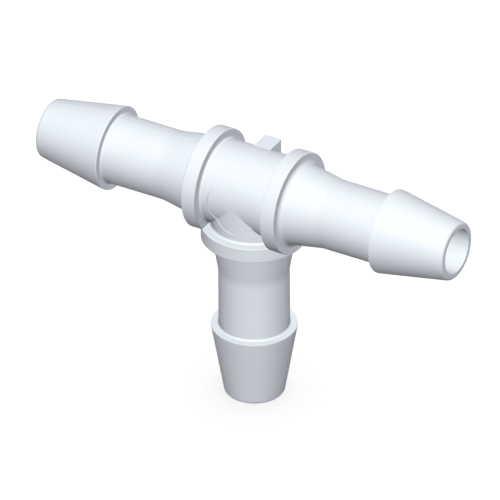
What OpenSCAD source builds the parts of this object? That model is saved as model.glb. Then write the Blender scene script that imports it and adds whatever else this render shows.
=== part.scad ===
// Hose barb tee, moulded in one piece: a straight run with a branch square to it.
// All three arms are alike: a round collar, a flare that narrows to the shank, and one barb.
// Millimetres. The run lies along X, Y is to the back, and the tee stands on the end of its
// branch at z = 0, so Z is also the branch's axis. The lug is at the back of the body's crown,
// and a shallow round mark is on the front, where the body meets the stub of the branch.

/* [Hose ends] */
// Diameter of the plain shank that the hose closes on
shank_d = 9.46; // [8.8:0.02:10.4]
// Diameter over the barb's crest
barb_d = 11.5; // [11:0.02:12.4]
// Diameter at the open end of each arm
tip_d = 8; // [7.4:0.02:8.6]
// Diameter of the passage along the run
run_bore_d = 6.26; // [4:0.02:6.4]
// Diameter of the passage in the branch, a little under the run's
branch_bore_d = 6.2; // [3.8:0.02:6.24]
// Distance from the middle of the tee to the end of each arm
arm_reach = 31; // [29:0.1:40]
// Length of the barb from its flat rear face to the end of the arm
barb_length = 10.32; // [7:0.02:12]
// Length of the plain band at the barb's crest
crest_land = 0.2; // [0.1:0.02:1.5]
// Rounding of the crest's rear edge
crest_round = 0.05; // [0.02:0.01:0.1]
// Fillet where the shank runs into the barb's rear face
barb_fillet_r = 0.26; // [0.1:0.02:0.6]
// Rounding of the outer edge at the open end
tip_round = 0.46; // [0.1:0.02:0.56]

/* [Flare] */
// Diameter of the flare where it leaves the collar
flare_d = 11.2; // [10.8:0.02:11.6]
// Length of the flare from the collar to the shank
flare_length = 5.04; // [3:0.02:8]
// Radius that blends the flare into the shank
flare_blend = 6.8; // [3:0.2:9]

/* [Collars] */
// Diameter of each collar
collar_d = 14.02; // [12.6:0.02:14.02]
// Thickness of each collar
collar_thickness = 2.06; // [1.4:0.02:3]
// Distance from the middle of the tee to the inner face of each collar
collar_inner = 4.98; // [4.98:0.02:6]
// Rounding of both rims of each collar
collar_rim_round = 0.08; // [0.04:0.02:0.3]
// Fillet where the body runs into a collar
body_fillet_r = 0.32; // [0.1:0.02:0.5]
// Fillet where a collar runs into its flare
flare_fillet_r = 0.68; // [0.1:0.02:0.7]

/* [Body] */
// Diameter of the body between the collars, and of the stub of the branch
body_d = 11.46; // [11:0.02:12]

/* [Round mark] */
// Diameter of the shallow round mark on the front of the body
mark_d = 7.68; // [5:0.02:8.6]
// Depth of the round mark under the body's skin
mark_depth = 0.14; // [0.1:0.02:0.4]

/* [Lug] */
// Width of the lug along the run
lug_width = 2.52; // [1.2:0.02:5]
// Distance from the run's axis to the back of the lug
lug_back = 5.34; // [4.4:0.02:5.6]
// Height of the lug's flat top above the run's axis
lug_top = 5.3; // [4.6:0.02:5.6]
// Rounding of the lug's two upright corners
lug_round = 0.25; // [0.05:0.05:0.6]

/* [Hidden] */
// number of steps that the preview draws a circle with
$fn = 96;
// how far a cutter runs on past the face it opens
past = 1;
// how far a fillet's filling reaches under the surfaces that it joins
under = 0.5;
// distance from the middle of the tee to the outer face of each collar
collar_outer = collar_inner + collar_thickness;
// distance from the middle of the tee to the end of the flare
flare_end = collar_outer + flare_length;
// distance from the middle of the tee to the barb's rear face
barb_rear = arm_reach - barb_length;
// angle between the flare's side and the axis
flare_angle = atan((flare_d - shank_d) / 2 / flare_length);
// distance along the shank that the blend takes up
blend_reach = flare_blend * tan(flare_angle / 2);
// angle between the barb's side and the axis
barb_angle = atan((barb_d - tip_d) / 2 / (barb_length - crest_land));

// takes the corner at [r, z] off a profile, to a quarter circle; z_side is 1 where the corner
// is at the piece's far end and -1 where it is at its near end
module corner_cut(r, z, size, z_side) {
    translate([r - size, z])
        mirror([0, z_side > 0 ? 0 : 1])
            translate([0, -size])
                difference() {
                    square([size + past, size + past]);
                    circle(r = size);
                }
}

// half section of one arm, with the arm's axis along y from the middle of the tee
module arm_profile() {
    difference() {
        union() {
            square([body_d / 2, collar_outer]);
            translate([0, collar_inner])
                square([collar_d / 2, collar_thickness]);
            polygon([
                [0, collar_inner],
                [flare_d / 2, collar_inner],
                [flare_d / 2, collar_outer],
                [shank_d / 2, flare_end],
                [shank_d / 2, barb_rear + crest_land],
                [0, barb_rear + crest_land]
            ]);
            step_fillet(body_d / 2, collar_inner, body_fillet_r);
            flare_fillet();
            shank_blend();
            step_fillet(shank_d / 2, barb_rear, barb_fillet_r);
            polygon([
                [0, barb_rear],
                [barb_d / 2, barb_rear],
                [barb_d / 2, barb_rear + crest_land],
                [tip_d / 2, arm_reach],
                [0, arm_reach]
            ]);
        }
        corner_cut(collar_d / 2, collar_inner, collar_rim_round, -1);
        corner_cut(collar_d / 2, collar_outer, collar_rim_round, 1);
        corner_cut(barb_d / 2, barb_rear, crest_round, -1);
        tip_cut();
    }
}

// what fills the hollow at the foot of a square step outwards, worked out from that corner at [r, z]
module step_fillet(r, z, size) {
    translate([r, z])
        difference() {
            translate([-under, -size])
                square([under + size, under + size]);
            translate([size, -size])
                circle(r = size);
        }
}

// what fills the hollow between a collar's outer face and the flare, worked out from that corner
module flare_fillet() {
    // the circle touches the collar's face and the flare's side this far from the corner
    reach = flare_fillet_r * tan((90 - flare_angle) / 2);
    side = reach * [-sin(flare_angle), cos(flare_angle)];
    translate([flare_d / 2, collar_outer])
        difference() {
            polygon([
                [-under, -under],
                [reach, -under],
                [reach, 0],
                side,
                [-under, side[1]]
            ]);
            translate([reach, flare_fillet_r])
                circle(r = flare_fillet_r);
        }
}

// what fills the hollow where the flare's side meets the shank, worked out from that corner
module shank_blend() {
    slope_start = blend_reach * [sin(flare_angle), -cos(flare_angle)];
    translate([shank_d / 2, flare_end])
        difference() {
            polygon([
                [-under, slope_start[1]],
                slope_start,
                [0, blend_reach],
                [-under, blend_reach]
            ]);
            translate([flare_blend, blend_reach])
                circle(r = flare_blend);
        }
}

// takes the outer corner off the open end of an arm, worked out from that corner
module tip_cut() {
    // the circle touches the end face and the barb's sloping side
    back = tip_round * tan((90 - barb_angle) / 2);
    middle = [-back, -tip_round];
    translate([tip_d / 2, arm_reach])
        difference() {
            polygon([
                middle,
                middle + 2 * past * [cos(barb_angle), sin(barb_angle)],
                middle + 2 * past * [1, 1],
                middle + 2 * past * [0, 1]
            ]);
            translate(middle)
                circle(r = tip_round);
        }
}

// one arm, standing on the middle of the tee
module arm() {
    rotate_extrude()
        arm_profile();
}

// block on the back of the body's crown; its front is buried, so its top runs out on the crown
module lug() {
    linear_extrude(lug_top)
        difference() {
            translate([-lug_width / 2, 0])
                square([lug_width, lug_back]);
            for (side = [0, 1])
                mirror([side, 0])
                    corner_cut(lug_width / 2, lug_back, lug_round, 1);
        }
}

// what the round mark takes off the front of the body and the stub; its floor follows both
module round_mark() {
    floor_d = body_d - 2 * mark_depth;
    difference() {
        rotate([90, 0, 0])
            cylinder(d = mark_d, h = body_d / 2 + past);
        translate([-mark_d, 0, 0])
            rotate([0, 90, 0])
                cylinder(d = floor_d, h = 2 * mark_d);
        translate([0, 0, -mark_d])
            cylinder(d = floor_d, h = mark_d);
    }
}

module tee_body() {
    color([0.93, 0.94, 0.96])
        translate([0, 0, arm_reach])
            difference() {
                union() {
                    rotate([0, 90, 0])
                        arm();
                    rotate([0, -90, 0])
                        arm();
                    rotate([180, 0, 0])
                        arm();
                    lug();
                }
                round_mark();
                translate([-arm_reach - past, 0, 0])
                    rotate([0, 90, 0])
                        cylinder(d = run_bore_d, h = 2 * (arm_reach + past));
                translate([0, 0, -arm_reach - past])
                    cylinder(d = branch_bore_d, h = arm_reach + past);
            }
}

union() {
    tee_body();
}
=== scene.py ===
import math

import bpy
from mathutils import Matrix, Vector


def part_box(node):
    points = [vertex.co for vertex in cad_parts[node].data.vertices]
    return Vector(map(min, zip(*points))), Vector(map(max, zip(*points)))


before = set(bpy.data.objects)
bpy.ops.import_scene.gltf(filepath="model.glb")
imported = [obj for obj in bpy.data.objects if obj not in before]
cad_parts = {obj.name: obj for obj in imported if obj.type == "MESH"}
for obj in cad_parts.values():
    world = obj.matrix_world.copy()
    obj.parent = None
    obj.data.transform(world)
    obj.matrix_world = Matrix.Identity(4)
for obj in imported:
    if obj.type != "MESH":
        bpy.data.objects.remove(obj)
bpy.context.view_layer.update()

bl_info = {
    "name": "Hose barb tee",
    "version": (1, 0, 0),
    "blender": (4, 5, 0),
    "location": "3D View > Sidebar > Hose barb tee",
    "description": "Finishes a moulded tube tee with three hose barbs and sets it in a plain studio",
    "category": "Object",
}

TEE = "tee_body"          # the one moulded piece
MM = 0.001
PICTURE_PIXELS = 500
PIXELS_PER_MM = 7.58      # the scale at which the picture shows the tee


def linear(hex_colour):
    """An sRGB hex colour such as "E8ECF2" as four linear numbers."""
    channels = [int(hex_colour[i:i + 2], 16) / 255 for i in (0, 2, 4)]
    return tuple(c / 12.92 if c <= 0.04045 else ((c + 0.055) / 1.055) ** 2.4 for c in channels) + (1.0,)


def add_node(tree, kind, at, settings=None, values=None, links=None):
    """Adds one node: its settings by attribute, its socket values by name, and what feeds its inputs."""
    node = tree.nodes.new(kind)
    node.location = at
    for name, value in (settings or {}).items():
        setattr(node, name, value)
    for name, value in (values or {}).items():
        node.inputs[name].default_value = value
    for name, socket in (links or {}).items():
        tree.links.new(socket, node.inputs[name])
    return node


def bare_tree(owner):
    """The node tree of a material or a world, emptied."""
    owner.use_nodes = True
    owner.node_tree.nodes.clear()
    return owner.node_tree


def heading(azimuth, elevation):
    """The direction from the tee to a viewer or lamp there. Azimuth 0 is in front (-Y), 90 is at +X."""
    flat = math.cos(elevation)
    return Vector((math.sin(azimuth) * flat, -math.cos(azimuth) * flat, math.sin(elevation)))


# Sizes, colours and levels

class TeeFinish(bpy.types.PropertyGroup):
    plastic: bpy.props.FloatVectorProperty(
        name="Plastic", description="Colour of the natural white polypropylene", subtype="COLOR",
        size=4, min=0, max=1, default=linear("E7ECF4"))
    plastic_deep: bpy.props.FloatVectorProperty(
        name="Plastic, thicker flow", description="Colour where the melt flowed thicker and cooled later",
        subtype="COLOR", size=4, min=0, max=1, default=linear("E3E8F0"))
    roughness_low: bpy.props.FloatProperty(
        name="Smoothest", description="Roughness of the best polished places of the mould",
        subtype="FACTOR", min=0, max=1, default=0.42)
    roughness_high: bpy.props.FloatProperty(
        name="Dullest", description="Roughness of the dullest places of the mould",
        subtype="FACTOR", min=0, max=1, default=0.54)
    grain_size: bpy.props.FloatProperty(
        name="Grain size", description="Width of one grain of the satin mould texture",
        subtype="DISTANCE", unit="LENGTH", min=0.02 * MM, max=2 * MM, default=0.34 * MM)
    grain_depth: bpy.props.FloatProperty(
        name="Grain depth", description="Depth of the satin mould texture",
        subtype="DISTANCE", unit="LENGTH", min=0, max=0.05 * MM, default=0.0016 * MM)
    flow_size: bpy.props.FloatProperty(
        name="Flow cloud size", description="Width of the faint clouds that the melt leaves in the colour",
        subtype="DISTANCE", unit="LENGTH", min=0.5 * MM, max=40 * MM, default=7 * MM)


class TeeStudio(bpy.types.PropertyGroup):
    view_azimuth: bpy.props.FloatProperty(
        name="View azimuth", description="Where the camera stands round the tee", subtype="ANGLE",
        default=math.radians(30.205))
    view_elevation: bpy.props.FloatProperty(
        name="View elevation", description="How high the camera stands above the floor's plane",
        subtype="ANGLE", default=math.radians(32.356))
    view_roll: bpy.props.FloatProperty(
        name="View roll", description="Turn of the camera about its own line of sight", subtype="ANGLE",
        default=math.radians(-0.337))
    picture_width: bpy.props.FloatProperty(
        name="Picture width", description="Width of the tee's plane that the picture takes in",
        subtype="DISTANCE", unit="LENGTH", min=0.01, max=1, default=PICTURE_PIXELS / PIXELS_PER_MM * MM)
    floor_size: bpy.props.FloatProperty(
        name="Floor size", description="Side of the square floor", subtype="DISTANCE", unit="LENGTH",
        min=0.2, max=5, default=1.6)
    floor_colour: bpy.props.FloatVectorProperty(
        name="Floor", description="Colour of the pale floor and backdrop", subtype="COLOR",
        size=4, min=0, max=1, default=linear("FFFFFF"))
    shadow_depth: bpy.props.FloatProperty(
        name="Shadow depth", subtype="FACTOR", min=0, max=0.5, default=0.38,
        description="How much of the lamps' light the floor throws back; the rest of its white is its own")
    room_level: bpy.props.FloatProperty(
        name="Room light", description="Level of the even light from all round", min=0, max=2, default=0.063)
    lamp_level: bpy.props.FloatProperty(
        name="Lamp level", description="Scales all the lamps together", min=0, max=5, default=1.0)


# Soft lamps: name, azimuth and elevation in degrees, the brightness it gives a white face that is
# turned to it, the angle in degrees that its soft box spans, and how often its light is thrown on
# from face to face. The last one stands straight behind, for the sides that the camera can't see.
LAMPS = (
    ("front", 24.4, 41.8, 0.897, 20, 0),
    ("top", 55.5, 75.2, 0.299, 30, 0),
    ("back_low", 165.1, -35.4, 0.172, 20, 1),
    ("back_fill", 210.2, -32.4, 0.8, 5, 0),
)
# The satin skin mirrors these lamps as soft highlights.
SHOWN_IN_GLOSS = ("front", "top")
# This one, straight above, gives the floor its shadow and lights nothing else.
FLOOR_LAMP = ("floor_top", 0.0, 90.0, 1.0, 120, 0)
# The room's even light comes from a light tent round the tee, one broad soft box to each side, here
# by azimuth and elevation in degrees.
TENT_SIDES = {
    "right": (90, 0),
    "left": (-90, 0),
    "front": (0, 0),
    "back": (180, 0),
    "top": (0, 90),
    "bottom": (0, -90),
}
TENT_SPREAD = 90
TENT_OVERLAP = 1.37       # what six boxes of brightness 1 give a face, on average over all directions
CAMERA_DISTANCE = 0.45
# The middle of the run's axis falls this far right of and above the picture's middle.
RUN_MIDDLE_RIGHT = 3.53 / PIXELS_PER_MM * MM
RUN_MIDDLE_UP = 60.4 / PIXELS_PER_MM * MM
FLOOR_GAP = 0.02 * MM     # the floor lies a hair under the branch's end, so that the two don't flicker


# The moulded tee

def moulded_polypropylene(finish):
    """Injection moulded polypropylene, natural white with a cool cast. The mould was finished with fine
    spark erosion and stoned, so the skin is satin: broad soft highlights, a fine grain that is felt
    more than seen, faint clouds where the melt flowed, and no wear."""
    material = bpy.data.materials.new("polypropylene_moulded_white")
    tree = bare_tree(material)
    place = add_node(tree, "ShaderNodeTexCoord", (-1100, 0)).outputs["Object"]

    clouds = add_node(tree, "ShaderNodeTexNoise", (-850, 250), values={
        "Scale": 1 / finish.flow_size, "Detail": 2.0, "Roughness": 0.45, "Distortion": 0.6,
    }, links={"Vector": place})
    colour = add_node(tree, "ShaderNodeMix", (-500, 250), {"data_type": "RGBA"}, links={
        "Factor": clouds.outputs["Fac"]})
    colour.inputs["A"].default_value = finish.plastic
    colour.inputs["B"].default_value = finish.plastic_deep

    # Real spark-eroded grain is about 0.03 mm wide. It is drawn about ten times as coarse, so that
    # it just shows at this size of picture.
    grain = add_node(tree, "ShaderNodeTexNoise", (-850, -250), values={
        "Scale": 1 / finish.grain_size, "Detail": 3.0, "Roughness": 0.55}, links={"Vector": place})
    # The mould was stoned by hand, in patches about half as wide as the flow clouds. This noise keeps
    # to between 0.3 and 0.7.
    polish = add_node(tree, "ShaderNodeTexNoise", (-850, 0), values={
        "Scale": 2.2 / finish.flow_size, "Detail": 1.0, "Roughness": 0.5}, links={"Vector": place})
    roughness = add_node(tree, "ShaderNodeMapRange", (-500, 0), values={
        "From Min": 0.3, "From Max": 0.7, "To Min": finish.roughness_low,
        "To Max": finish.roughness_high}, links={"Value": polish.outputs["Fac"]})
    bump = add_node(tree, "ShaderNodeBump", (-500, -250), values={
        "Strength": 1.0, "Distance": finish.grain_depth}, links={"Height": grain.outputs["Fac"]})
    # Polypropylene bends light by 1.49. Its grain scatters about half of what it would mirror.
    skin = add_node(tree, "ShaderNodeBsdfPrincipled", (-200, 100), values={
        "IOR": 1.49, "Metallic": 0.0, "Specular IOR Level": 0.25}, links={
        "Base Color": colour.outputs["Result"], "Roughness": roughness.outputs["Result"],
        "Normal": bump.outputs["Normal"]})
    add_node(tree, "ShaderNodeOutputMaterial", (100, 100), links={"Surface": skin.outputs["BSDF"]})
    return material


class TEE_OT_finish_body(bpy.types.Operator):
    """Gives the moulded tee its satin white polypropylene"""
    bl_idname = "tee.finish_body"
    bl_label = "Finish the tee"
    bl_options = {"REGISTER", "UNDO"}

    def execute(self, context):
        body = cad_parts[TEE]
        material = moulded_polypropylene(context.scene.tee_finish)
        if not body.material_slots:
            body.data.materials.append(material)
        for slot in body.material_slots:
            slot.material = material
        return {"FINISHED"}


# The studio

def tent_lamps(studio):
    """The light tent's boxes, in the form of LAMPS."""
    return [(f"tent_{side}", azimuth, elevation, studio.room_level / TENT_OVERLAP, TENT_SPREAD, 0)
            for side, (azimuth, elevation) in TENT_SIDES.items()]


def light_on_floor(studio):
    """What all the lamps together give a level white face."""
    total = 0.0
    for _name, _azimuth, elevation, brightness, spread, _bounces in (
            *LAMPS, *tent_lamps(studio), FLOOR_LAMP):
        upright = max(0, math.sin(math.radians(elevation)))
        softness = (1 + math.cos(math.radians(spread / 2))) / 2     # a wide box lights less squarely
        total += studio.lamp_level * brightness * upright * softness
    return total


def seen_directly(tree, at):
    """1 for rays that show a thing (camera, mirror and glass rays), 0 for those that light the tee."""
    path = add_node(tree, "ShaderNodeLightPath", at)
    either = add_node(tree, "ShaderNodeMath", (at[0] + 200, at[1]), {"operation": "MAXIMUM"})
    tree.links.new(path.outputs["Is Camera Ray"], either.inputs[0])
    tree.links.new(path.outputs["Is Glossy Ray"], either.inputs[1])
    any_of = add_node(tree, "ShaderNodeMath", (at[0] + 400, at[1]), {"operation": "MAXIMUM"})
    tree.links.new(either.outputs[0], any_of.inputs[0])
    tree.links.new(path.outputs["Is Transmission Ray"], any_of.inputs[1])
    return any_of.outputs[0]


def studio_floor_material(studio):
    """Matt white seamless paper. It shows white with the tee's faint soft shadow on it. It is clear from
    below, so that the underside can be looked at, and to the light, which comes evenly from all round."""
    material = bpy.data.materials.new("seamless_paper_matt_white")
    tree = bare_tree(material)
    glow = add_node(tree, "ShaderNodeEmission", (-400, 100), values={
        "Color": studio.floor_colour, "Strength": 1.0 - studio.shadow_depth * light_on_floor(studio)})
    lit_colour = [c * studio.shadow_depth for c in studio.floor_colour[:3]] + [1.0]
    lit = add_node(tree, "ShaderNodeBsdfDiffuse", (-400, -50), values={"Color": lit_colour})
    sheet = add_node(tree, "ShaderNodeAddShader", (-200, 0))
    tree.links.new(glow.outputs[0], sheet.inputs[0])
    tree.links.new(lit.outputs[0], sheet.inputs[1])
    side = add_node(tree, "ShaderNodeNewGeometry", (-600, 500))
    above = add_node(tree, "ShaderNodeMath", (-400, 500), {"operation": "SUBTRACT"})
    above.inputs[0].default_value = 1.0
    tree.links.new(side.outputs["Backfacing"], above.inputs[1])
    shown = add_node(tree, "ShaderNodeMath", (-200, 400), {"operation": "MULTIPLY"})
    tree.links.new(seen_directly(tree, (-1000, 300)), shown.inputs[0])
    tree.links.new(above.outputs[0], shown.inputs[1])
    clear = add_node(tree, "ShaderNodeBsdfTransparent", (-200, 150))
    both = add_node(tree, "ShaderNodeMixShader", (0, 100), links={"Fac": shown.outputs[0]})
    tree.links.new(clear.outputs[0], both.inputs[1])
    tree.links.new(sheet.outputs[0], both.inputs[2])
    add_node(tree, "ShaderNodeOutputMaterial", (200, 100), links={"Surface": both.outputs[0]})
    return material


def lay_floor(studio):
    bpy.ops.object.select_all(action="DESELECT")
    bpy.ops.mesh.primitive_plane_add(size=studio.floor_size, location=(0, 0, -FLOOR_GAP))
    floor = bpy.context.active_object
    floor.name = "studio_floor"
    bpy.ops.object.transform_apply(location=True, rotation=True, scale=True)
    floor.data.materials.append(studio_floor_material(studio))
    return floor


def backdrop_world(scene, studio):
    """White where it is seen, or shows in a gloss. The light on the tee comes from the lamps alone."""
    world = bpy.data.worlds.new("studio_backdrop")
    scene.world = world
    tree = bare_tree(world)
    white = add_node(tree, "ShaderNodeBackground", (0, 0), values={"Color": studio.floor_colour}, links={
        "Strength": seen_directly(tree, (-600, 0))})
    add_node(tree, "ShaderNodeOutputWorld", (200, 0), links={"Surface": white.outputs[0]})


def hang_lamp(scene, studio, name, azimuth, elevation, brightness, spread, bounces, only_on=None):
    """One soft box, far enough off that it lights the whole tee evenly. With many more like it round the
    tee it casts no shadow that shows, unless it is there for one thing only, the floor."""
    data = bpy.data.lights.new(name, "SUN")
    data.energy = math.pi * brightness * studio.lamp_level
    data.angle = math.radians(spread)
    data.use_shadow = only_on is not None
    data.cycles.max_bounces = bounces
    lamp = bpy.data.objects.new(name, data)
    scene.collection.objects.link(lamp)
    lamp.visible_glossy = name in SHOWN_IN_GLOSS
    if only_on:
        lit = bpy.data.collections.new(f"lit_by_{name}")
        lit.objects.link(only_on)
        lamp.light_linking.receiver_collection = lit
    towards = heading(math.radians(azimuth), math.radians(elevation))
    lamp.rotation_mode = "QUATERNION"
    lamp.rotation_quaternion = towards.to_track_quat("Z", "Y")
    lamp.location = towards * CAMERA_DISTANCE


def stand_camera(scene, studio):
    """A parallel view, as through a very long lens, from where the picture was taken."""
    # the collars are the widest thing on the run, so its axis lies half their width under the top
    low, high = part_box(TEE)
    run_middle = Vector(((low.x + high.x) / 2, (low.y + high.y) / 2, high.z - (high.y - low.y) / 2))
    back = heading(studio.view_azimuth, studio.view_elevation)
    right = Vector((math.cos(studio.view_azimuth), math.sin(studio.view_azimuth), 0))
    up = back.cross(right)
    turned = Matrix((right, up, back)).transposed() @ Matrix.Rotation(studio.view_roll, 3, "Z")
    right, up = turned.col[0], turned.col[1]
    data = bpy.data.cameras.new("camera")
    data.type = "ORTHO"
    data.ortho_scale = studio.picture_width
    data.clip_start = 0.01
    data.clip_end = 5.0
    camera = bpy.data.objects.new("camera", data)
    scene.collection.objects.link(camera)
    place = run_middle - right * RUN_MIDDLE_RIGHT - up * RUN_MIDDLE_UP + back * CAMERA_DISTANCE
    camera.matrix_world = Matrix.Translation(place) @ turned.to_4x4()
    scene.camera = camera


class TEE_OT_build_studio(bpy.types.Operator):
    """Sets up the floor, the room light, the soft lamps and the camera"""
    bl_idname = "tee.build_studio"
    bl_label = "Build the studio"
    bl_options = {"REGISTER", "UNDO"}

    def execute(self, context):
        scene = context.scene
        studio = scene.tee_studio
        floor = lay_floor(studio)
        backdrop_world(scene, studio)
        for lamp in (*LAMPS, *tent_lamps(studio)):
            hang_lamp(scene, studio, *lamp)
        hang_lamp(scene, studio, *FLOOR_LAMP, only_on=floor)
        stand_camera(scene, studio)
        scene.view_settings.view_transform = "Standard"
        return {"FINISHED"}


class TEE_PT_sidebar(bpy.types.Panel):
    """Lists the steps and their sizes, colours and levels"""
    bl_label = "Hose barb tee"
    bl_idname = "TEE_PT_sidebar"
    bl_space_type = "VIEW_3D"
    bl_region_type = "UI"
    bl_category = "Hose barb tee"

    def draw(self, context):
        for step, group in (
            (TEE_OT_finish_body, context.scene.tee_finish),
            (TEE_OT_build_studio, context.scene.tee_studio),
        ):
            box = self.layout.box()
            for name in group.__annotations__:
                box.prop(group, name)
            box.operator(step.bl_idname)


CLASSES = (TeeFinish, TeeStudio, TEE_OT_finish_body, TEE_OT_build_studio, TEE_PT_sidebar)


def register():
    for cls in CLASSES:
        bpy.utils.register_class(cls)
    bpy.types.Scene.tee_finish = bpy.props.PointerProperty(type=TeeFinish)
    bpy.types.Scene.tee_studio = bpy.props.PointerProperty(type=TeeStudio)


def unregister():
    del bpy.types.Scene.tee_studio
    del bpy.types.Scene.tee_finish
    for cls in reversed(CLASSES):
        bpy.utils.unregister_class(cls)


def main():
    register()
    bpy.ops.tee.finish_body()
    bpy.ops.tee.build_studio()


if __name__ == "__main__":
    main()
